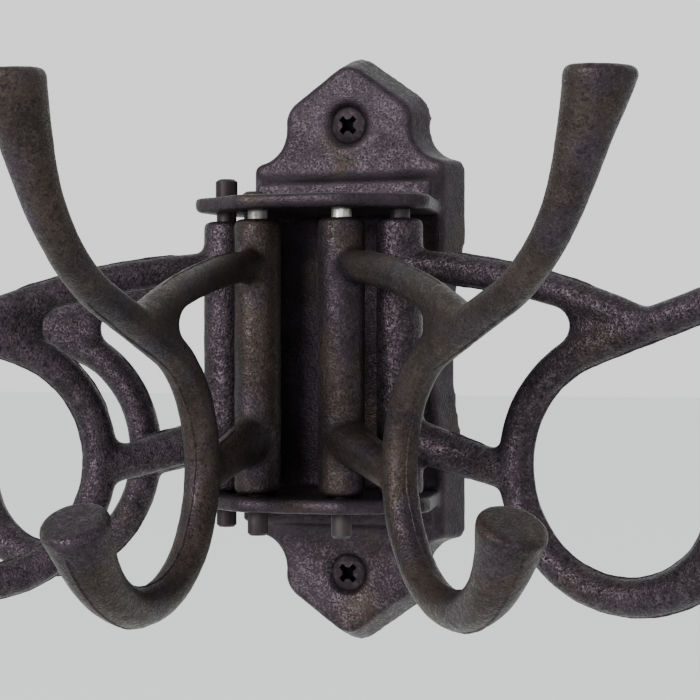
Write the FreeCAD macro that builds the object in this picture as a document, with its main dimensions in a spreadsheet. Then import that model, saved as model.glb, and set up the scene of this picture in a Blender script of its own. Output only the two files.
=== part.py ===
import FreeCAD, Part
import math
import os
import Sketcher

# Folding wall hook: a cast backplate with two shelves, upright hinge pins between the
# shelves, and five cast double-hook arms that swing on the pins.
# Frame: X to the right, Y into the wall, Z up. The origin is the middle of the plate's back.
os.makedirs("parts", exist_ok=True)
doc = FreeCAD.newDocument("FoldingWallHook")
sheet = doc.addObject("Spreadsheet::Sheet", "Sizes")


# Driving sizes in millimetres and degrees.
sizes = {
    # Backplate outline at the wall, right half
    "plate_depth": 10.7,
    "plate_draft": 2.8,
    "apex_side": 3.4,
    "apex_height": 75.3,
    "apex_round": 6.5,
    "lobe_side": 15.2,
    "lobe_height": 66.9,
    "lobe_round": 9.0,
    "neck_side": 19.9,
    "neck_height": 59.6,
    "ogee_round": 8.6,
    "shoulder_side": 27.2,
    "shoulder_height": 48.8,
    "shoulder_round": 2.4,
    "flank_side": 28.9,
    "flank_height": 46.0,
    "waist_side": 28.9,
    "waist_height": 27.0,
    "waist_hollow": 123.0,
    "plate_edge_round": 1.5,
    # Shelves
    "upper_shelf_base": 33.9,
    "lower_shelf_base": 39.9,
    "shelf_thickness": 4.1,
    "shelf_margin": 8.0,
    "shelf_root_side": 25.4,
    "shelf_hip_side": 29.9,
    "shelf_hip_depth": 17.0,
    "shelf_inner_round": 1.6,
    "shelf_outer_round": 0.5,
    "shelf_under_round": 1.7,
    "band_side": 24.4,
    "band_depth": 3.4,
    "band_height": 5.2,
    "band_round": 0.8,
    # Hinge pins
    "pin_radius": 2.5,
    "pin_chamfer": 0.6,
    "front_pin_side": 11.1,
    "front_pin_depth": 42.3,
    "front_pin_top": 38.3,
    "front_pin_foot": 45.8,
    "side_pin_side": 23.2,
    "side_pin_depth": 34.2,
    "side_pin_top": 38.5,
    "side_pin_head_top": 42.7,
    "side_pin_foot": 44.6,
    "back_pin_side": 22.6,
    "back_pin_depth": 18.8,
    "back_pin_head_top": 40.6,
    "back_pin_foot": 44.2,
    "pin_head_radius": 2.75,
    # Arm casting
    "rod_radius": 4.4,
    "barrel_radius": 5.9,
    "barrel_top": 32.2,
    "barrel_round": 1.7,
    "bore_clearance": 0.06,
    "hook_centre_out": 61.8,
    "hook_centre_down": 27.3,
    "hook_radius": 29.5,
    "hook_sweep": 106.0,
    "root_slope": 19.0,
    "root_length": 31.0,
    "root_radius": 4.1,
    "prong_radius": 56.3,
    "prong_sweep": 10.0,
    "prong_bend": 33.0,
    "prong_reach": 20.5,
    "prong_growth": 2.6,
    "prong_tip_radius": 8.0,
    "prong_tip_lean": 4.0,
    "button_bend": 114.0,
    "button_reach": 8.2,
    "button_drift": 2.4,
    "button_growth": 3.4,
    "button_radius": 8.4,
    "button_lean": 30.5,
    "rim_round": 1.9,
    "upper_strut_height": 20.6,
    "upper_strut_radius": 180.0,
    "upper_strut_slope": 2.0,
    "upper_strut_length": 67.9,
    "strut_relief": 0.1,
    "lower_strut_drop": 20.8,
    "lower_strut_slope": 15.5,
    "lower_strut_length": 33.0,
    "lower_strut_root": 5.6,
    "lower_strut_end": 4.3,
    "valley_round": 4.5,
    "crotch_round": 2.6,
    "barrel_blend": 2.4,
    # Where each arm stands in the photograph, measured from straight out of the wall
    "swing_front_left": 0.2,
    "swing_front_right": 46.0,
    "swing_side_left": 50.7,
    "swing_side_right": 78.6,
    "swing_back_left": 94.5,
    # Wall screws
    "screw_height": 57.75,
    "sink_radius": 5.9,
    "sink_angle": 41.0,
    "screw_hole_radius": 2.3,
    "screw_head_radius": 4.65,
    "screw_head_dome": 0.9,
    "screw_neck_radius": 2.2,
    "screw_shank_radius": 2.1,
    "screw_core_radius": 1.55,
    "screw_length": 32.0,
    "screw_shank_length": 16.5,
    "screw_point": 4.0,
    "thread_pitch": 1.8,
    "recess_width": 1.5,
    "recess_span": 5.4,
    "recess_depth": 1.9,
    "recess_turn": 45.0,
}
for row, (name, value) in enumerate(sizes.items(), start=1):
    sheet.set("A%d" % row, name.replace("_", " "))
    sheet.set("B%d" % row, "%g" % value)
    sheet.setAlias("B%d" % row, name)
doc.recompute()


def at(x, y, z, turn="rotation(vector(0; 0; 1); 0)"):
    """A placement expression from three lengths and a rotation."""
    return "placement(vector(%s; %s; %s); %s)" % (x, y, z, turn)


def bind(feature, place=None, **expressions):
    """Tie a feature's sizes and its placement to the sheet."""
    for prop, text in expressions.items():
        feature.setExpression(prop, text)
    if place:
        feature.setExpression("Placement", place)
    return feature


def grow(body, kind, name, place=None, **expressions):
    return bind(body.newObject("PartDesign::" + kind, name), place, **expressions)


def solid(kind, name, place=None, **expressions):
    return bind(doc.addObject("Part::" + kind, name), place, **expressions)


def outline(sketch, corners, edges):
    """Closed outline. Corners are (x, y) expressions. An edge is None for a straight line, or
    (radius, bulge) for an arc that bulges left (+1) or right (-1) of the way it runs."""
    spots = []
    for across, upward in corners:
        x = float(sketch.evalExpression(across))
        y = float(sketch.evalExpression(upward))
        spots.append(FreeCAD.Vector(x, y, 0))
    count = len(spots)
    ends = []
    for i in range(count):
        start = spots[i]
        stop = spots[(i + 1) % count]
        if edges[i] is None:
            sketch.addGeometry(Part.LineSegment(start, stop), False)
            ends.append((1, 2))
            continue
        radius = float(sketch.evalExpression(edges[i][0]))
        bulge = edges[i][1]
        chord = stop - start
        left = FreeCAD.Vector(-chord.y, chord.x, 0).normalize()
        rise = math.sqrt(radius ** 2 - (chord.Length / 2) ** 2)
        centre = (start + stop) * 0.5 - left * (rise * bulge)
        first, last = (stop, start) if bulge > 0 else (start, stop)
        circle = Part.Circle(centre, FreeCAD.Vector(0, 0, 1), radius)
        begin = math.atan2(first.y - centre.y, first.x - centre.x)
        finish = math.atan2(last.y - centre.y, last.x - centre.x)
        sketch.addGeometry(Part.ArcOfCircle(circle, begin, finish), False)
        ends.append((2, 1) if bulge > 0 else (1, 2))
    for i in range(count):
        after = (i + 1) % count
        sketch.addConstraint(Sketcher.Constraint("Coincident", i, ends[i][1], after, ends[after][0]))
    for i in range(count):
        fix_across = Sketcher.Constraint("DistanceX", -1, 1, i, ends[i][0], spots[i].x)
        item = sketch.addConstraint(fix_across)
        sketch.setExpression("Constraints[%d]" % item, corners[i][0])
        fix_upward = Sketcher.Constraint("DistanceY", -1, 1, i, ends[i][0], spots[i].y)
        item = sketch.addConstraint(fix_upward)
        sketch.setExpression("Constraints[%d]" % item, corners[i][1])
        if edges[i] is not None:
            fix_radius = Sketcher.Constraint("Radius", i, sketch.Geometry[i].Radius)
            item = sketch.addConstraint(fix_radius)
            sketch.setExpression("Constraints[%d]" % item, edges[i][0])
    return sketch


def blend(body, name, chosen, radius):
    """Round the edges of the body's last feature that the test chooses."""
    last = body.Tip
    picked = []
    for i, edge in enumerate(last.Shape.Edges, start=1):
        if chosen(edge, edge.BoundBox):
            picked.append("Edge%d" % i)
    fillet = body.newObject("PartDesign::Fillet", name)
    fillet.Base = (last, picked)
    fillet.setExpression("Radius", radius)
    doc.recompute()
    return fillet


def straight_across(edge, box):
    return box.YLength < 0.01 and box.ZLength < 0.01 and box.XLength > sizes["band_side"]


# Backplate: the outline is the same at the top and the bottom, and every side is drafted so
# that the front face is smaller than the wall face.
plate = doc.addObject("PartDesign::Body", "backplate")
faces_turn = "rotation(vector(1; 0; 0); 90)"


def plate_face(name, depth, draft):
    def inset(size, share):
        return "(Sizes.%s - %s * %s)" % (size, share, draft)

    half = [
        (inset("apex_side", 0.2), inset("apex_height", 1.15)),
        (inset("lobe_side", 0.36), inset("lobe_height", 1.03)),
        (inset("neck_side", 0.93), inset("neck_height", 0.36)),
        (inset("shoulder_side", 1), inset("shoulder_height", 0.1)),
        (inset("flank_side", 1), inset("flank_height", 0.14)),
        (inset("waist_side", 1), inset("waist_height", 0)),
    ]
    arcs = [
        None,
        ("Sizes.lobe_round - %s" % draft, 1),
        ("Sizes.ogee_round", -1),
        ("Sizes.shoulder_round", 1),
        None,
    ]
    waist = ("Sizes.waist_hollow", -1)
    apex = ("Sizes.apex_round - 0.4 * %s" % draft, 1)
    corners = list(half)
    corners += [(x, "-" + y) for x, y in reversed(half)]
    corners += [("-" + x, "-" + y) for x, y in half]
    corners += [("-" + x, y) for x, y in reversed(half)]
    edges = arcs + [waist] + arcs[::-1] + [apex]
    edges = edges + arcs + [waist] + arcs[::-1] + [apex]
    face = plate.newObject("Sketcher::SketchObject", name)
    bind(face, at("0", "-" + depth, "0", faces_turn))
    return outline(face, corners, edges)


wall_face = plate_face("WallFace", "0 * Sizes.plate_depth", "0 * Sizes.plate_draft")
front_face = plate_face("FrontFace", "Sizes.plate_depth", "Sizes.plate_draft")
slab = plate.newObject("PartDesign::AdditiveLoft", "Slab")
slab.Profile = wall_face
slab.Sections = [front_face]
slab.Ruled = True
doc.recompute()


def front_rim(edge, box):
    depth = sizes["plate_depth"]
    return abs(box.YMin + depth) < 0.01 and abs(box.YMax + depth) < 0.01


blend(plate, "FrontRim", front_rim, "Sizes.plate_edge_round")

# Shelves: one plan for both, wide at the side pins and narrower at the front pins, with a
# round of the same margin about each pin. The left side swells at the back for the fifth pin.
reach = "sqrt((%s) ^ 2 + (%s) ^ 2)" % (
    "Sizes.side_pin_side - Sizes.front_pin_side",
    "Sizes.front_pin_depth - Sizes.side_pin_depth",
)
lean_side = "Sizes.shelf_margin * (Sizes.front_pin_depth - Sizes.side_pin_depth) / %s" % reach
lean_front = "Sizes.shelf_margin * (Sizes.side_pin_side - Sizes.front_pin_side) / %s" % reach
right_plan = [
    ("Sizes.shelf_root_side", "-(Sizes.plate_depth - 1)"),
    ("(Sizes.side_pin_side + Sizes.shelf_margin)", "-Sizes.side_pin_depth"),
    ("(Sizes.side_pin_side + %s)" % lean_side, "-(Sizes.side_pin_depth + %s)" % lean_front),
    ("(Sizes.front_pin_side + %s)" % lean_side, "-(Sizes.front_pin_depth + %s)" % lean_front),
    ("Sizes.front_pin_side", "-(Sizes.front_pin_depth + Sizes.shelf_margin)"),
]
about_pin = ("Sizes.shelf_margin", 1)
right_edges = [None, about_pin, None, about_pin]
hip = ("-Sizes.shelf_hip_side", "-Sizes.shelf_hip_depth")
left_plan = [("-" + x, y) for x, y in reversed(right_plan)]
plan = right_plan + left_plan[:-1] + [hip] + left_plan[-1:]
plan_edges = right_edges + [None] + right_edges[::-1] + [None, None]
for name, base in (("UpperShelf", "Sizes.upper_shelf_base"), ("LowerShelf", "-Sizes.lower_shelf_base")):
    shelf_plan = plate.newObject("Sketcher::SketchObject", name + "Plan")
    bind(shelf_plan, at("0", "0", base))
    outline(shelf_plan, plan, plan_edges)
    shelf = plate.newObject("PartDesign::Pad", name)
    shelf.Profile = shelf_plan
    shelf.setExpression("Length", "Sizes.shelf_thickness")
    doc.recompute()

shelf_top = sizes["upper_shelf_base"] + sizes["shelf_thickness"]
shelf_foot = -sizes["lower_shelf_base"]
shelf_gap_top = sizes["upper_shelf_base"]
shelf_gap_foot = sizes["shelf_thickness"] - sizes["lower_shelf_base"]


# Root bands: a raised band along the plate above the upper shelf and below the lower one, with a
# cove from its front edge back to the plate.
for name, side, level in (
    ("UpperBand", "", "(Sizes.upper_shelf_base + Sizes.shelf_thickness)"),
    ("LowerBand", "-", "Sizes.lower_shelf_base"),
):
    buried = "-(Sizes.plate_depth - 1)"
    front = "-(Sizes.plate_depth + Sizes.band_depth)"
    edge_level = "%s(%s + Sizes.band_height)" % (side, level)
    cove_level = "%s(%s + Sizes.band_height + Sizes.band_depth)" % (side, level)
    corners = [
        (buried, side + level),
        (front, side + level),
        (front, edge_level),
        ("-Sizes.plate_depth", cove_level),
        (buried, cove_level),
    ]
    cove = ("Sizes.band_depth", 1 if side else -1)
    profile = plate.newObject("Sketcher::SketchObject", name + "Profile")
    bind(profile, at("-Sizes.band_side", "0", "0", "rotation(vector(1; 1; 1); 120)"))
    outline(profile, corners, [None, None, cove, None, None])
    band = plate.newObject("PartDesign::Pad", name)
    band.Profile = profile
    band.setExpression("Length", "2 * Sizes.band_side")
    doc.recompute()
band_top = shelf_top + sizes["band_height"]
band_foot = shelf_foot - sizes["band_height"]
band_front = sizes["plate_depth"] + sizes["band_depth"]


def along_root(depth, *heights):
    def chosen(edge, box):
        level = min(abs(box.ZMin - height) for height in heights)
        return straight_across(edge, box) and level < 0.01 and abs(box.YMin + depth) < 0.01
    return chosen


blend(plate, "BandRims", along_root(band_front, band_top, band_foot), "Sizes.band_round")
inner_levels = (shelf_gap_top, shelf_gap_foot)
blend(plate, "InnerRoots", along_root(sizes["plate_depth"], *inner_levels), "Sizes.shelf_inner_round")


def shelf_rim(*levels):
    def chosen(edge, box):
        level = min(abs(box.ZMin - height) for height in levels)
        return box.ZLength < 0.01 and level < 0.01 and box.YMax < -band_front - 0.5
    return chosen


blend(plate, "OuterRims", shelf_rim(shelf_top, shelf_foot), "Sizes.shelf_outer_round")
blend(plate, "InnerRims", shelf_rim(*inner_levels), "Sizes.shelf_under_round")

pins = {
    "front_left": ("-Sizes.front_pin_side", "front"),
    "front_right": ("Sizes.front_pin_side", "front"),
    "side_left": ("-Sizes.side_pin_side", "side"),
    "side_right": ("Sizes.side_pin_side", "side"),
    "back_left": ("-Sizes.back_pin_side", "back"),
}
for name, (across, row) in pins.items():
    hole_at = at(across, "-Sizes.%s_pin_depth" % row, "-2 * Sizes.lower_shelf_base")
    grow(
        plate,
        "SubtractiveCylinder",
        "PinHole_" + name,
        hole_at,
        Radius="Sizes.pin_radius",
        Height="4 * Sizes.lower_shelf_base",
    )

# Screw holes: a plain hole with a wide countersink at the front.
into_wall = "rotation(vector(1; 0; 0); -90)"
sink_depth = "((Sizes.sink_radius - Sizes.screw_hole_radius) / tan(Sizes.sink_angle * 1 deg))"
for name, height in (("upper", "Sizes.screw_height"), ("lower", "-Sizes.screw_height")):
    front_spot = at("0", "-Sizes.plate_depth", height, into_wall)
    grow(
        plate,
        "SubtractiveCone",
        "Sink_" + name,
        front_spot,
        Radius1="Sizes.sink_radius",
        Radius2="Sizes.screw_hole_radius",
        Height=sink_depth,
    )
    grow(
        plate,
        "SubtractiveCylinder",
        "ScrewHole_" + name,
        front_spot,
        Radius="Sizes.screw_hole_radius",
        Height="2 * Sizes.plate_depth",
    )
doc.recompute()


# Hinge pins: plain steel rods, chamfered at both ends. The left side pin and the back pin stand
# proud of the upper shelf with a slightly swollen head, the others are cut off nearly flush.
def hinge_pin(name, across, row, head):
    depth = "-Sizes.%s_pin_depth" % row
    top = "Sizes.%s_pin_%s" % (row, "head_top" if head else "top")
    foot = "Sizes.%s_pin_foot" % row
    chamfer = "Sizes.pin_chamfer"
    radius = "Sizes.pin_radius"
    pieces = [
        solid(
            "Cylinder",
            "Shaft_" + name,
            at(across, depth, "-(%s - %s)" % (foot, chamfer)),
            Radius=radius,
            Height="%s + %s - 2 * %s" % (top, foot, chamfer),
        ),
        solid(
            "Cone",
            "Foot_" + name,
            at(across, depth, "-" + foot),
            Radius1="%s - %s" % (radius, chamfer),
            Radius2=radius,
            Height=chamfer,
        ),
    ]
    if head:
        shelf_level = "(Sizes.upper_shelf_base + Sizes.shelf_thickness)"
        pieces.append(solid(
            "Cylinder",
            "Head_" + name,
            at(across, depth, shelf_level),
            Radius="Sizes.pin_head_radius",
            Height="%s - %s - %s" % (top, chamfer, shelf_level),
        ))
        radius = "Sizes.pin_head_radius"
    pieces.append(solid(
        "Cone",
        "Top_" + name,
        at(across, depth, "%s - %s" % (top, chamfer)),
        Radius1=radius,
        Radius2="%s - 1.4 * %s" % (radius, chamfer),
        Height=chamfer,
    ))
    pin = doc.addObject("Part::MultiFuse", "Pin_" + name)
    pin.Shapes = pieces
    return pin


def together(label, pieces):
    group = doc.addObject("Part::Compound", label)
    group.Links = pieces
    return group


made = {}
for name, (across, row) in pins.items():
    made[name] = hinge_pin(name, across, row, name in ("side_left", "back_left"))
front_pins = together("front_pins", [made["front_left"], made["front_right"]])
side_pins = together("side_pins", [made["side_left"], made["side_right"]])
back_pin = together("back_pin", [made["back_left"]])
doc.recompute()


# Wall screws: low domed countersunk heads with a cross recess, seated part of the way down the
# sink, a tapered neck through the plate and a pointed wood thread behind it.
def wall_screw(name, height):
    seat = "((Sizes.sink_radius - Sizes.screw_head_radius) / tan(Sizes.sink_angle * 1 deg))"
    head = "((Sizes.screw_head_radius - Sizes.screw_neck_radius) / tan(Sizes.sink_angle * 1 deg))"
    face = "(%s - Sizes.plate_depth)" % seat

    wall = "(Sizes.plate_depth - %s)" % seat
    dome = "((Sizes.screw_head_radius ^ 2 / Sizes.screw_head_dome + Sizes.screw_head_dome) / 2)"

    def along(distance, turn=into_wall):
        return at("0", "(%s + %s)" % (face, distance), height, turn)

    pieces = [
        solid(
            "Sphere",
            "ScrewDome_" + name,
            along("%s - Sizes.screw_head_dome" % dome, "rotation(vector(1; 0; 0); 90)"),
            Radius=dome,
            Angle1="asin(1 - Sizes.screw_head_dome / %s)" % dome,
        ),
        solid(
            "Cone",
            "ScrewHead_" + name,
            along("0"),
            Radius1="Sizes.screw_head_radius",
            Radius2="Sizes.screw_neck_radius",
            Height=head,
        ),
        solid(
            "Cone",
            "ScrewNeck_" + name,
            along(head),
            Radius1="Sizes.screw_neck_radius",
            Radius2="Sizes.screw_shank_radius",
            Height="%s - %s" % (wall, head),
        ),
        solid(
            "Cylinder",
            "ScrewShank_" + name,
            along(wall),
            Radius="Sizes.screw_shank_radius",
            Height="Sizes.screw_shank_length - %s" % wall,
        ),
        solid(
            "Cylinder",
            "ScrewCore_" + name,
            along("Sizes.screw_shank_length"),
            Radius="Sizes.screw_core_radius",
            Height="Sizes.screw_length - Sizes.screw_shank_length - Sizes.screw_point",
        ),
        solid(
            "Cone",
            "ScrewPoint_" + name,
            along("Sizes.screw_length - Sizes.screw_point"),
            Radius1="Sizes.screw_core_radius",
            Radius2="0.2",
            Height="Sizes.screw_point",
        ),
    ]
    for turn in range(6):
        crest = "Sizes.screw_shank_length + %d * Sizes.thread_pitch" % (turn + 1)
        rising = solid(
            "Cone",
            "ThreadRise_%s_%d" % (name, turn),
            along("%s - 0.45 * Sizes.thread_pitch" % crest),
            Radius1="Sizes.screw_core_radius - 0.05",
            Radius2="Sizes.screw_shank_radius",
            Height="0.45 * Sizes.thread_pitch",
        )
        falling = solid(
            "Cone",
            "ThreadFall_%s_%d" % (name, turn),
            along(crest),
            Radius1="Sizes.screw_shank_radius",
            Radius2="Sizes.screw_core_radius - 0.05",
            Height="0.3 * Sizes.thread_pitch",
        )
        pieces += [rising, falling]
    blank = doc.addObject("Part::MultiFuse", "ScrewBlank_" + name)
    blank.Shapes = pieces
    slots = []
    for side in range(2):
        turn = "rotation(vector(0; 1; 0); Sizes.recess_turn + %d)" % (90 * side)
        slot = solid(
            "Box",
            "Slot_%s_%d" % (name, side),
            along("-1", turn) + " * placement(vector(-Sizes.recess_span / 2; 0; -Sizes.recess_width / 2);"
            " rotation(vector(0; 0; 1); 0))",
            Length="Sizes.recess_span",
            Width="Sizes.recess_depth + 1",
            Height="Sizes.recess_width",
        )
        slots.append(slot)
    slots.append(solid(
        "Cone",
        "SlotMiddle_" + name,
        along("-1"),
        Radius1="Sizes.recess_span * 0.3",
        Radius2="Sizes.recess_width * 0.45",
        Height="Sizes.recess_depth * 1.15 + 1",
    ))
    recess = doc.addObject("Part::MultiFuse", "Recess_" + name)
    recess.Shapes = slots
    screw = doc.addObject("Part::Cut", "Screw_" + name)
    screw.Base = blank
    screw.Tool = recess
    return screw


wall_screws = together("wall_screws", [
    wall_screw("upper", "Sizes.screw_height"),
    wall_screw("lower", "-Sizes.screw_height"),
])
doc.recompute()

# Arm casting: a barrel, an upper and a lower strut, and one long rod that runs from the flared
# tip of the prong down into the round of the hook and up to its button. The rod is a chain of
# an arc, a straight root and an arc that meet tangentially. In the arm's own frame X points
# away from the pin, Z up, and Y square to the arm's plane.
slope = "(Sizes.root_slope * 1 deg)"
root_x = "(Sizes.hook_centre_out - Sizes.hook_radius * sin(%s))" % slope
root_z = "(Sizes.hook_radius * cos(%s) - Sizes.hook_centre_down)" % slope
prong_x = "(%s + Sizes.root_length * cos(%s) - Sizes.prong_radius * sin(%s))" % (root_x, slope, slope)
prong_z = "(%s + Sizes.root_length * sin(%s) + Sizes.prong_radius * cos(%s))" % (root_z, slope, slope)
prong_end = "(270 + Sizes.root_slope + Sizes.prong_sweep)"
hook_end = "(90 + Sizes.root_slope + Sizes.hook_sweep)"
strut_start = "(90 - Sizes.upper_strut_slope)"
strut_sweep = "(Sizes.upper_strut_length / Sizes.upper_strut_radius * 180 / pi)"


def leaning(x, z, tilt, y="0"):
    return at(x, y, z, "rotation(vector(0; 1; 0); %s)" % tilt)


def ring(x, z, start):
    turn = "rotation(vector(1; 0; 0); 90) * rotation(vector(0; 0; 1); %s)" % start
    return at(x, "0", z, turn)


def swelling_end(body, name, centre_x, centre_z, radius, start, bend, reach, drift, thin, swell, lean):
    """The rod swells along the last part of its arc and a straight reach, through round sections
    square to it and evenly spaced. It drifts out of the arm's plane on the way, and the last
    section leans from the level by its own angle."""
    growth, thick = swell
    steps = 8
    sections = []
    arc = "(%s * %s * pi / 180)" % (radius, bend)
    for step in range(steps + 1):
        share = step / steps
        run = "(%g * (%s + %s))" % (share, arc, reach)
        angle = "(%s + %s * min(%s / %s; 1))" % (start, bend, run, arc)
        straight = "max(%s - %s; 0)" % (run, arc)
        x = "(%s + %s * cos(%s * 1 deg) - %s * sin(%s * 1 deg))" % (centre_x, radius, angle, straight, angle)
        z = "(%s + %s * sin(%s * 1 deg) + %s * cos(%s * 1 deg))" % (centre_z, radius, angle, straight, angle)
        aside = "-%s * %g" % (drift, share ** 1.5)
        tilt = lean if step == steps else "360 - %s" % angle
        section = body.newObject("Sketcher::SketchObject", "%sSection%d" % (name, step))
        bind(section, leaning(x, z, tilt, aside))
        size = "%s + (%s - %s) * %g ^ %s" % (thin, thick, thin, share, growth)
        start_size = float(section.evalExpression(size))
        middle = FreeCAD.Vector(0, 0, 0)
        section.addGeometry(Part.Circle(middle, FreeCAD.Vector(0, 0, 1), start_size), False)
        section.addConstraint(Sketcher.Constraint("Coincident", 0, 3, -1, 1))
        item = section.addConstraint(Sketcher.Constraint("Radius", 0, start_size))
        section.setExpression("Constraints[%d]" % item, size)
        sections.append(section)
    doc.recompute()
    swelling = body.newObject("PartDesign::AdditiveLoft", name + "Swelling")
    swelling.Profile = sections[0]
    swelling.Sections = sections[1:]
    swelling.Ruled = False
    return swelling


def plain(edge):
    return edge.Curve.TypeId in ("Part::GeomLine", "Part::GeomCircle")


hook_near = 0.65 * sizes["hook_centre_out"]
hook_far = sizes["hook_centre_out"] + sizes["hook_radius"]


def at_valley(edge, box):
    inside = hook_near < box.Center.x < hook_far and box.Center.z > -0.4 * sizes["hook_radius"]
    return not plain(edge) and inside


def at_crotch(edge, box):
    return not plain(edge) and sizes["barrel_radius"] + 0.1 < box.Center.x < hook_near


def at_barrel(edge, box):
    return not plain(edge) and box.Center.x < sizes["barrel_radius"] + 0.1 and box.ZLength > 1


def at_barrel_rim(edge, box):
    wide = box.XLength > 2 * sizes["barrel_radius"] - 0.1
    return edge.Curve.TypeId == "Part::GeomCircle" and box.ZLength < 0.01 and wide


def at_flare_rim(edge, box):
    rims = [2 * math.pi * sizes[name] for name in ("prong_tip_radius", "button_radius")]
    return box.Center.x > hook_near and min(abs(edge.Length - rim) for rim in rims) < 0.05


def arm(label, across, row, swing):
    body = doc.addObject("PartDesign::Body", label)
    foot = "(Sizes.lower_shelf_base - Sizes.shelf_thickness)"
    grow(
        body,
        "AdditiveCylinder",
        "Barrel",
        at("0", "0", "-" + foot),
        Radius="Sizes.barrel_radius",
        Height="Sizes.barrel_top + %s" % foot,
    )
    grow(
        body,
        "AdditiveTorus",
        "Hook",
        ring("Sizes.hook_centre_out", "-Sizes.hook_centre_down", "90 + Sizes.root_slope"),
        Radius1="Sizes.hook_radius",
        Radius2="Sizes.rod_radius",
        Angle3="Sizes.hook_sweep",
    )
    grow(
        body,
        "AdditiveCone",
        "Root",
        leaning(root_x, root_z, "90 - Sizes.root_slope"),
        Radius1="Sizes.rod_radius",
        Radius2="Sizes.root_radius",
        Height="Sizes.root_length",
    )
    grow(
        body,
        "AdditiveTorus",
        "Prong",
        ring(prong_x, prong_z, "270 + Sizes.root_slope"),
        Radius1="Sizes.prong_radius",
        Radius2="Sizes.root_radius",
        Angle3="Sizes.prong_sweep",
    )
    grow(
        body,
        "AdditiveTorus",
        "UpperStrut",
        ring(
            "-Sizes.upper_strut_radius * cos(%s * 1 deg)" % strut_start,
            "(Sizes.upper_strut_height - Sizes.upper_strut_radius * sin(%s * 1 deg))" % strut_start,
            "%s - %s" % (strut_start, strut_sweep),
        ),
        Radius1="Sizes.upper_strut_radius",
        Radius2="Sizes.root_radius - Sizes.strut_relief",
        Angle3=strut_sweep,
    )
    grow(
        body,
        "AdditiveCone",
        "LowerStrut",
        leaning("0", "-Sizes.lower_strut_drop", "90 + Sizes.lower_strut_slope"),
        Radius1="Sizes.lower_strut_root",
        Radius2="Sizes.lower_strut_end",
        Height="Sizes.lower_strut_length",
    )
    doc.recompute()
    swelling_end(
        body, "Prong", prong_x, prong_z, "Sizes.prong_radius", prong_end, "Sizes.prong_bend",
        "Sizes.prong_reach", "0", "Sizes.root_radius", ("Sizes.prong_growth", "Sizes.prong_tip_radius"),
        "Sizes.prong_tip_lean",
    )
    swelling_end(
        body, "Button", "Sizes.hook_centre_out", "-Sizes.hook_centre_down", "Sizes.hook_radius", hook_end,
        "Sizes.button_bend", "Sizes.button_reach", "Sizes.button_drift", "Sizes.rod_radius",
        ("Sizes.button_growth", "Sizes.button_radius"), "Sizes.button_lean",
    )
    grow(
        body,
        "SubtractiveCylinder",
        "Bore",
        at("0", "0", "-2 * Sizes.lower_shelf_base"),
        Radius="Sizes.pin_radius + Sizes.bore_clearance",
        Height="4 * Sizes.lower_shelf_base",
    )
    doc.recompute()
    blend(body, "CrotchBlend", at_crotch, "Sizes.crotch_round")
    blend(body, "ValleyBlend", at_valley, "Sizes.valley_round")
    blend(body, "BarrelBlend", at_barrel, "Sizes.barrel_blend")
    blend(body, "BarrelRims", at_barrel_rim, "Sizes.barrel_round")
    blend(body, "FlareRims", at_flare_rim, "Sizes.rim_round")
    swung = "rotation(vector(0; 0; 1); %s - 90)" % swing
    bind(body, at(across, "-Sizes.%s_pin_depth" % row, "0", swung))
    return body


arms = []
for name, (across, row) in pins.items():
    sign = "-" if name.endswith("left") and row != "front" else ""
    arms.append(arm("arm_" + name, across, row, sign + "Sizes.swing_" + name))
doc.recompute()

# Every sub-part is checked before it is written.
for item in doc.Objects:
    if "Invalid" in item.State or "Error" in item.State or "Touched" in item.State:
        raise RuntimeError("%s is %s" % (item.Name, item.State))
nodes = [plate, front_pins, side_pins, back_pin, wall_screws] + arms
for node in nodes:
    if node.Shape.isNull() or not node.Shape.isValid() or not node.Shape.Solids:
        raise RuntimeError("%s has no valid solid" % node.Label)
    node.Shape.exportStep("parts/%s.step" % node.Label)
    print(node.Label, len(node.Shape.Solids), "solids, %.1f cubic mm" % node.Shape.Volume)
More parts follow.
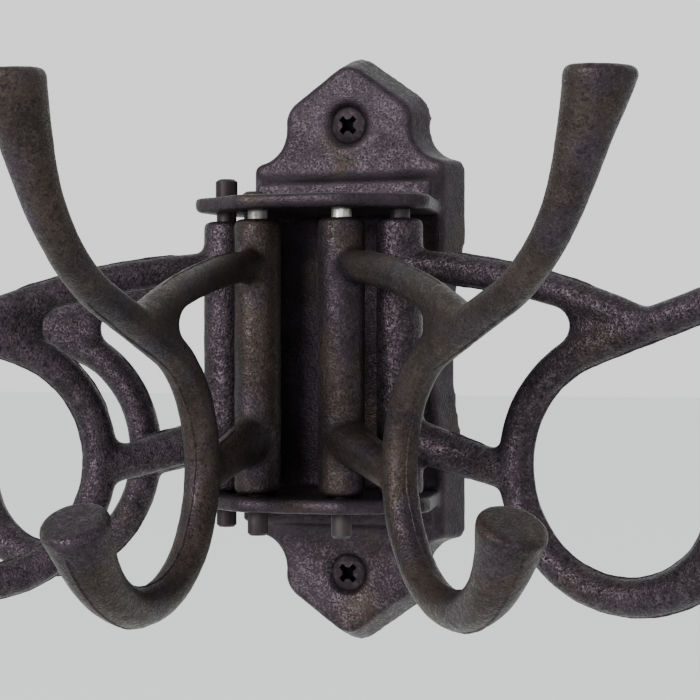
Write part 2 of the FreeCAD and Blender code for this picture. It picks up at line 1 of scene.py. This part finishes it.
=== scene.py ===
import math
import bpy
import numpy as np
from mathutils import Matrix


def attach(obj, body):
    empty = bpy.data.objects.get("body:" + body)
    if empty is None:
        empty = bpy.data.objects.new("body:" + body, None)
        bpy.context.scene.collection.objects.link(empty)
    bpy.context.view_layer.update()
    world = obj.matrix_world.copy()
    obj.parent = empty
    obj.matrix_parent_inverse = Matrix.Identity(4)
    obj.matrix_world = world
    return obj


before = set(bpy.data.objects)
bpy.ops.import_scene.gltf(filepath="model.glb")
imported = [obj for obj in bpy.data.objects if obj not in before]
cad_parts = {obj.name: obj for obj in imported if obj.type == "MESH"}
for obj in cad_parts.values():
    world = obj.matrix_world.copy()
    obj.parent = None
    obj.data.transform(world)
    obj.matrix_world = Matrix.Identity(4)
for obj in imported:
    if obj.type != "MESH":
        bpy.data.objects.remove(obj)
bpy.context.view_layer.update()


# Backplate: one grey-iron casting with two shelves, poured in green sand and fettled by hand.
# It is blacked with a thin brown-black wash that sits in the sand grain and rubs off the
# high spots, and its skin is a little uneven from the mould. Its grain tops carry painted sparkle near its
# foot.
class Socket:
    """A shader socket that takes part in sums: each operator adds its Math node."""

    def __init__(self, tree, socket=None):
        self.tree = tree
        self.socket = socket

    def node(self, kind, settings=None, inputs=None, output=0):
        """Any node: its type, its settings, the values or links of its sockets, and the output wanted."""
        made = self.tree.nodes.new(kind)
        for name, value in (settings or {}).items():
            setattr(made, name, value)
        for name, value in (inputs or {}).items():
            if isinstance(value, Socket):
                self.tree.links.new(value.socket, made.inputs[name])
            else:
                made.inputs[name].default_value = value
        return Socket(self.tree, made.outputs[output] if len(made.outputs) else None)

    def math(self, operation, first, second):
        """A Math node on two sockets or numbers."""
        return self.node("ShaderNodeMath", {"operation": operation}, {0: first, 1: second})

    def __add__(self, other):
        return self.math("ADD", self, other)

    def __sub__(self, other):
        return self.math("SUBTRACT", self, other)

    def __rsub__(self, other):
        return self.math("SUBTRACT", other, self)

    def __mul__(self, other):
        return self.math("MULTIPLY", self, other)

    __radd__ = __add__
    __rmul__ = __mul__

    def band(self, low, high):
        """0 below low, 1 above high, eased between."""
        limits = {"Value": self, "From Min": low, "From Max": high}
        return self.node("ShaderNodeMapRange", {"interpolation_type": "SMOOTHSTEP"}, limits)

    def axis(self, number):
        """One part of a place: 0 is across, 1 is into the wall and 2 is up."""
        return self.node("ShaderNodeSeparateXYZ", None, {0: self}, number)

    def tint(self, dark, light):
        """The colour that this value picks between two colours or colour sockets."""
        pair = [tone if isinstance(tone, Socket) else tuple(tone) + (1.0,) for tone in (dark, light)]
        return self.node("ShaderNodeMix", {"data_type": "RGBA"}, {0: self, 6: pair[0], 7: pair[1]}, 2)


def new_finish(name):
    """An empty material, its node maker and the place on the piece in metres."""
    material = bpy.data.materials.new(name)
    material.use_nodes = True
    material.node_tree.nodes.clear()
    maker = Socket(material.node_tree)
    return material, maker, maker.node("ShaderNodeTexCoord", output=3)


def close_finish(maker, sockets):
    """The shader that ends a material, with its values and links."""
    shader = maker.node("ShaderNodeBsdfPrincipled", None, sockets)
    maker.node("ShaderNodeOutputMaterial", None, {"Surface": shader})


def noise(maker, place, scale, detail):
    """Cloudy noise from 0 to 1 with about scale clouds to the metre."""
    return maker.node("ShaderNodeTexNoise", None, {"Vector": place, "Scale": scale, "Detail": detail})


def cast_iron(name, brown_share, grit_and_sparkle, foot_sparkle):
    """Sand-cast iron: lumps, fine sand grain and open pits raise the surface. The wash is brown in some
    patches and purple-black in others, darkest in the pits, and lighter bare iron shows on the tops of the
    grains, partly as rubbed wear and partly as painted sparkle. The share sets how much is brown, and the
    grit how plainly the grains and their painted sparkle show; the foot sparkle is painted sparkle added on
    the grain tops near the plate's foot."""
    material, maker, place = new_finish(name)
    lumps = noise(maker, place, 420.0, 2.0)
    grain = noise(maker, place, 1700.0, 3.0)
    cells = maker.node("ShaderNodeTexVoronoi", None, {"Vector": place, "Scale": 1500.0})
    pits = cells.band(0.1, 0.5)
    specks = 1.0 - noise(maker, place, 950.0, 2.0).band(0.36, 0.47)
    patch = noise(maker, place, 55.0, 3.0)
    wash = noise(maker, place, 90.0, 3.0)
    height = lumps * 0.45 + grain * 0.8 + pits * 0.35
    tops = height.band(0.9, 1.14)
    blur = 0.09
    hue = patch.band(brown_share - blur, brown_share + blur)
    thin = wash.band(0.3, 0.7)
    brown = thin.tint((0.0165, 0.0112, 0.0092), (0.0320, 0.0222, 0.0175))
    purple = thin.tint((0.0145, 0.0098, 0.0135), (0.0275, 0.0195, 0.0262))
    soot = (0.0045, 0.0032, 0.0038)
    bare = (0.080, 0.060, 0.070)
    washed = (specks * (0.3 + grit_and_sparkle)).tint(hue.tint(brown, purple), soot)
    # Lighter bare iron on the grain tops: partly rubbed wear, partly painted sparkle, with more painted
    # sparkle near the plate's foot.
    foot = 1.0 - place.axis(2).band(-0.058, -0.044)
    worn = grit_and_sparkle + foot * foot_sparkle
    tone = (tops * worn).tint(washed, bare)
    depth = 0.00018 + 0.0003 * grit_and_sparkle
    bump = maker.node("ShaderNodeBump", None, {"Strength": 0.8, "Distance": depth, "Height": height})
    close_finish(maker, {
        "Base Color": tone, "Roughness": 0.47 - tops * 0.17 + wash * 0.06, "Metallic": 0.75,
        "Specular IOR Level": 0.4, "Normal": bump,
    })
    return material


# The plate gets painted sparkle on its grain tops near its foot.
plate_iron = cast_iron("blacked_plate_iron", brown_share=0.38, grit_and_sparkle=0.1, foot_sparkle=0.6)


def dress(node, material):
    """Gives a CAD piece its one material."""
    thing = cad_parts[node]
    thing.data.materials.clear()
    thing.data.materials.append(material)


mould_swell = bpy.data.textures.new("mould_swell", "CLOUDS")
mould_swell.noise_scale = 0.009
mould_swell.noise_depth = 1
sand_lumps = bpy.data.textures.new("sand_lumps", "CLOUDS")
sand_lumps.noise_scale = 0.0021
sand_lumps.noise_depth = 2
net_step = 0.0006
swell_depth = 0.00022
lump_depth = 0.00014


def rough_cast(node, easing):
    """The skin of a sand casting: the solid's surface in an even net of small faces, eased, then sunk
    by up to a fifth of a millimetre in wide swells and by less in small lumps. The easing rounds sharp
    edges off and fills inner corners by some tenths of a millimetre."""
    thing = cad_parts[node]
    net = thing.modifiers.new("even_net", "REMESH")
    net.mode = "VOXEL"
    net.voxel_size = net_step
    net.use_smooth_shade = True
    ease = thing.modifiers.new("eased", "SMOOTH")
    ease.factor = 0.5
    ease.iterations = easing
    for label, texture, depth in (("swell", mould_swell, swell_depth), ("lumps", sand_lumps, lump_depth)):
        sink = thing.modifiers.new(label, "DISPLACE")
        sink.texture = texture
        sink.texture_coords = "LOCAL"
        sink.mid_level = 1.0
        sink.strength = depth


dress("backplate", plate_iron)
rough_cast("backplate", easing=16)


# Hinge pins: drawn steel rod, cut to length. They are blacked with the castings, and the front ones
# carry a painted gleam of bright steel in the short gaps between barrel and shelf.
def pin_steel(name):
    """Drawn steel: fine draw lines along Z. A painted gleam makes the front pins bright in the band above
    the barrels, the right one more than the left, and a little at their cut feet. Elsewhere the wash keeps
    them dark."""
    material, maker, place = new_finish(name)
    stretch = maker.node("ShaderNodeMapping", None, {"Vector": place, "Scale": (1.0, 1.0, 0.05)})
    lines = noise(maker, stretch, 2600.0, 2.0)
    bloom = noise(maker, place, 260.0, 5.0)
    height = place.axis(2)
    # Painted gleam: bright steel on the front pins above the barrels and a little at their feet, the right
    # pin brighter than the left.
    right = place.axis(0).band(-0.001, 0.001)
    behind = place.axis(1).band(-0.0390, -0.0370)
    front = (1.0 - behind * 0.95) * (0.45 + right * 0.55)
    gleam_band = height.band(0.0318, 0.0322) - height.band(0.0338, 0.0343)
    feet = 1.0 - height.band(-0.0420, -0.0395)
    clean = 1.0 - bloom.band(0.45, 0.65) * 0.9
    painted_gleam = (gleam_band + feet * 0.05) * front * clean
    blacked = (0.021, 0.0145, 0.0170)
    bare = (0.46, 0.44, 0.42)
    tone = painted_gleam.tint(blacked, bare)
    bump = maker.node("ShaderNodeBump", None, {"Strength": 0.35, "Distance": 0.0001, "Height": lines + bloom})
    close_finish(maker, {
        "Base Color": tone, "Roughness": 0.5 - painted_gleam * 0.18, "Metallic": 0.75 + painted_gleam * 0.2,
        "Specular IOR Level": 0.4, "Normal": bump,
    })
    return material


steel = pin_steel("drawn_pin_steel")
for node in ("front_pins", "side_pins", "back_pin"):
    dress(node, steel)


# Arms: five castings from one pattern, in the same iron and wash as the plate. The front two are
# smoother and browner; the rear three keep more grit, with more painted sparkle on their grain tops. The
# two halves of the mould met in the middle plane of each arm and left a low ragged fin along its edges.

# The rod that bears the prong and the hook, in millimetres and degrees
rod_radius = 4.4
root_radius = 4.1
root_slope = 19.0
root_length = 31.0
prong_radius = 56.3
prong_sweep = 10.0
hook_middle = np.array([61.8, -27.3])
hook_radius = 29.5
hook_sweep = 106.0
button_sweep = 114.0
button_radius = 8.4


def rod_line():
    """The rod's middle line from the prong's foot to the button, in four stretches with columns: out, up,
    aside, direction to the edge, radius. It is an arc about the prong's centre, a straight root, an arc
    about the hook's centre, and that arc run on with a short reach while the rod swells by a power of the
    run and drifts aside. The direction points below the prong and the root, and into the hook."""
    def bent(centre, radius, first, sweep, runs, thick, reach=0.0, swell=0.0, growth=1.0, drift=0.0):
        arc = math.radians(sweep) * radius
        share = runs / (arc + reach)
        turn = np.radians(first + sweep * np.minimum(runs / arc, 1.0))
        away = np.column_stack([np.cos(turn), np.sin(turn)])
        beyond = np.column_stack([-away[:, 1], away[:, 0]]) * np.maximum(runs - arc, 0.0)[:, None]
        middle = centre + away * radius + beyond
        return np.column_stack([middle, -drift * share ** 1.5, away, thick + swell * share ** growth])

    slope = math.radians(root_slope)
    along = np.array([math.cos(slope), math.sin(slope)])
    up = np.array([-along[1], along[0]])
    root = hook_middle + hook_radius * up
    prong_middle = root + root_length * along + prong_radius * up
    prong_first = 270.0 + root_slope
    bow = bent(prong_middle, prong_radius, prong_first, prong_sweep, np.linspace(9.0, 0.0, 9), root_radius)
    run = np.linspace(30.0, 1.0, 30)
    taper = rod_radius - (rod_radius - root_radius) * run / root_length
    base = np.column_stack([root + run[:, None] * along, 0.0 * run, np.tile(-up, (30, 1)), taper])
    hook_first = 90.0 + root_slope
    bowl = bent(hook_middle, hook_radius, hook_first, hook_sweep, np.linspace(0.0, 54.0, 55), rod_radius)
    button_first = hook_first + hook_sweep
    button = bent(
        hook_middle, hook_radius, button_first, button_sweep, np.linspace(0.5, 64.6, 64), rod_radius,
        reach=8.2, swell=button_radius - rod_radius, growth=3.4, drift=2.4,
    )
    bowl[:, 3:5] *= -1.0
    button[:, 3:5] *= -1.0
    return bow, base, bowl, button


def arm_edges():
    """The arm's edges in its middle plane, as (points, outward directions, aside) in millimetres from the
    pin. The rod's edges are its middle line plus or less its radius; the strut is a wide arc, and the
    brace and the barrel are bars that narrow evenly."""
    def edge(line, side):
        return line[:, :2] + side * line[:, 3:5] * line[:, 5:6], side * line[:, 3:5], line[:, 2]

    def arc(centre, radius, first, last, side):
        turn = np.radians(np.linspace(first, last, 50))
        away = np.column_stack([np.cos(turn), np.sin(turn)])
        return np.array(centre) + away * radius, away * side, np.zeros(50)

    def bar(start, slope, first, last, side, thick, loss):
        run = np.linspace(first, last, int(last - first) + 8)
        way = np.array([math.cos(slope), math.sin(slope)])
        off = np.array([-way[1], way[0]]) * side
        middle = np.array(start) + run[:, None] * way
        return middle + off * (thick - loss * run[:, None]), np.tile(off, (len(run), 1)), 0.0 * run

    bow, base, bowl, button = rod_line()
    strut_middle = (-6.28, -159.29)
    strut_radius = 180.0
    strut_half = 4.0
    brace_root = (0.0, -20.8)
    brace_slope = math.radians(-15.5)
    brace_radius = 5.6
    brace_loss = 0.039
    barrel_radius = 5.9
    # The hook's outer edge shows between the strut and the brace, and again beyond the brace
    between = bowl[9:29]
    beyond = np.concatenate([bowl[50:], button])
    return [
        edge(np.concatenate([bow, base, bowl, button]), 1),
        edge(between, -1),
        edge(beyond, -1),
        arc(strut_middle, strut_radius + strut_half, 84.6, 70.5, 1),
        arc(strut_middle, strut_radius - strut_half, 84.2, 75.5, -1),
        bar(brace_root, brace_slope, 11.0, 26.0, 1, brace_radius, brace_loss),
        bar(brace_root, brace_slope, 10.0, 24.0, -1, brace_radius, brace_loss),
        bar((0.0, 0.0), math.pi / 2, -33.5, 30.0, 1, barrel_radius, 0.0),
    ]


ridge_columns = 7


def mould_fin(points, away, aside, phase):
    """A fin along an edge, as rows of points across it. Its section is a power of half a cosine wave,
    which stands on a foot below the edge. Three sines of unlike pitch make its height waver along the
    edge, slower ones its half-width and its place aside, and it sinks in at both ends."""
    step = np.hypot(*np.diff(points, axis=0, prepend=points[:1]).T)
    run = np.cumsum(step)
    fade_length = 4.0
    fade = np.clip(np.minimum(run, run[-1] - run) / fade_length, 0.0, 1.0)
    waver = 0.5 * np.sin(run * 0.83 + phase) + 0.3 * np.sin(run * 2.1 + 2 * phase) + 0.2 * np.sin(run * 0.31)
    tall = (0.02 + 0.10 * np.clip(waver + 0.5, 0.0, 1.6)) * fade - 0.5 * (1.0 - fade)
    half_width = 0.55 + 0.12 * np.sin(run * 0.57 + phase)
    middle = aside + 0.18 * np.sin(run * 0.21 + phase)
    across = np.linspace(-1.0, 1.0, ridge_columns)
    foot = 0.75
    out = (tall[:, None] + foot) * np.cos(across * math.pi / 2) ** 0.8 - foot
    ridge = np.empty((len(points), ridge_columns, 3))
    ridge[..., 0] = points[:, None, 0] + away[:, None, 0] * out
    ridge[..., 1] = across * half_width[:, None] + middle[:, None]
    ridge[..., 2] = points[:, None, 1] + away[:, None, 1] * out
    return ridge


def ribbon_faces(rows, columns, first):
    """Quads over a grid of points whose rows are closed round by their last face, with capped ends."""
    grid = first + np.arange(rows * columns).reshape(rows, columns)
    after = np.roll(grid, -1, axis=1)
    quads = np.stack([grid[:-1], grid[1:], after[1:], after[:-1]], axis=-1).reshape(-1, 4).tolist()
    return quads + [grid[0].tolist(), grid[-1, ::-1].tolist()]


def mesh_piece(name, points, faces, material):
    """A new smooth piece from points in millimetres."""
    mesh = bpy.data.meshes.new(name)
    mesh.from_pydata((points / 1000.0).tolist(), [], faces)
    mesh.polygons.foreach_set("use_smooth", np.ones(len(mesh.polygons), dtype=bool))
    mesh.materials.append(material)
    mesh.update()
    piece = bpy.data.objects.new(name, mesh)
    bpy.context.scene.collection.objects.link(piece)
    return piece


front_iron = cast_iron("blacked_front_arm_iron", brown_share=0.54, grit_and_sparkle=0.28, foot_sparkle=0.0)
rear_iron = cast_iron("blacked_rear_arm_iron", brown_share=0.35, grit_and_sparkle=0.55, foot_sparkle=0.0)
# Each arm's pin, across and into the wall in millimetres, and how far it is swung to the right, in degrees
arms = {
    "front_left": (-11.1, -42.3, 0.2),
    "front_right": (11.1, -42.3, 46.0),
    "side_left": (-23.2, -34.2, -50.7),
    "side_right": (23.2, -34.2, 78.6),
    "back_left": (-22.6, -18.8, -94.5),
}
edges = arm_edges()
for number, (name, (across, depth, swing)) in enumerate(arms.items()):
    iron = front_iron if name.startswith("front") else rear_iron
    dress("arm_" + name, iron)
    rough_cast("arm_" + name, easing=8)
    points = []
    faces = []
    count = 0
    for line, (edge, away, aside) in enumerate(edges):
        ridge = mould_fin(edge, away, aside, number * 1.7 + line)
        faces += ribbon_faces(len(edge), ridge_columns, count)
        points.append(ridge.reshape(-1, 3))
        count += len(edge) * ridge_columns
    points = np.concatenate(points)
    turn = math.radians(swing - 90.0)
    cos = math.cos(turn)
    sin = math.sin(turn)
    spin = np.array([[cos, -sin, 0.0], [sin, cos, 0.0], [0.0, 0.0, 1.0]])
    placed = points @ spin.T + np.array([across, depth, 0.0])
    fin = mesh_piece("mould_fin_" + name, placed, faces, iron)
    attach(fin, "swing_" + name)


# Wall screws: low domed countersunk steel screws with a cross recess, blacked to go with the iron.
# The driver has rubbed their heads.
def screw_black(name):
    """Blacked steel: a smooth dark skin, patchy, with rubbed high spots, and darker and rougher down in the
    recess.
    """
    material, maker, place = new_finish(name)
    rub = noise(maker, place, 700.0, 4.0)
    mark = rub.band(0.46, 0.7) * 0.7
    # Near-black and rougher deeper than about nine millimetres into the cross recess.
    deep_in_recess = place.axis(1).band(-0.0096, -0.0090)
    blacked = (0.0150, 0.0098, 0.0130)
    worn = (0.040, 0.028, 0.035)
    soot = (0.0012, 0.0010, 0.0010)
    tone = deep_in_recess.tint(mark.tint(blacked, worn), soot)
    bump = maker.node("ShaderNodeBump", None, {"Strength": 0.35, "Distance": 0.0002, "Height": rub})
    close_finish(maker, {
        "Base Color": tone, "Roughness": 0.5 - mark * 0.14 + deep_in_recess * 0.4, "Metallic": 0.7,
        "Specular IOR Level": 0.3, "Normal": bump,
    })
    return material


dress("wall_screws", screw_black("blacked_screw"))


# Stage: a plain pale floor, a large soft light in front on the upper left, a weaker one on the right,
# and the camera a little to the right of the plate, level with its middle.
floor_size = 12.0
floor_level = -0.30
corners = np.array([[-1, -1], [1, -1], [1, 1], [-1, 1]]) * floor_size
floor_mesh = bpy.data.meshes.new("floor")
floor_mesh.from_pydata(np.column_stack([corners, np.full(4, floor_level)]).tolist(), [], [(0, 1, 2, 3)])
floor = bpy.data.objects.new("floor", floor_mesh)
bpy.context.scene.collection.objects.link(floor)
pale, maker, _ = new_finish("pale_floor")
close_finish(maker, {"Base Color": (0.86, 0.88, 0.87, 1.0), "Roughness": 0.9})
floor_mesh.materials.append(pale)

world = bpy.data.worlds.new("studio")
bpy.context.scene.world = world
world.use_nodes = True
sky = world.node_tree.nodes["Background"]
sky.inputs["Color"].default_value = (0.84, 0.86, 0.85, 1.0)
sky.inputs["Strength"].default_value = 1.5


def soft_light(name, spot, size, watts):
    """A round soft light that faces the middle of the plate."""
    lamp = bpy.data.lights.new(name, "AREA")
    lamp.shape = "DISK"
    lamp.size = size
    lamp.energy = watts
    holder = bpy.data.objects.new(name, lamp)
    holder.location = spot
    towards = -np.array(spot)
    level = math.hypot(towards[0], towards[1])
    holder.rotation_euler = (math.atan2(level, -towards[2]), 0.0, math.atan2(-towards[0], towards[1]))
    bpy.context.scene.collection.objects.link(holder)


soft_light("key", (-0.55, -1.35, 0.42), size=0.6, watts=22.0)
soft_light("fill", (0.35, -1.4, 0.1), size=0.9, watts=4.0)

lens = bpy.data.cameras.new("camera")
lens.sensor_width = 36.0
lens.lens = 116.05
lens.clip_start = 0.01
camera = bpy.data.objects.new("camera", lens)
camera.location = (0.21325, -0.5514, 0.00126)
camera.rotation_euler = (math.radians(90.0 - 0.146), 0.0, math.radians(21.44))
bpy.context.scene.collection.objects.link(camera)
bpy.context.scene.camera = camera
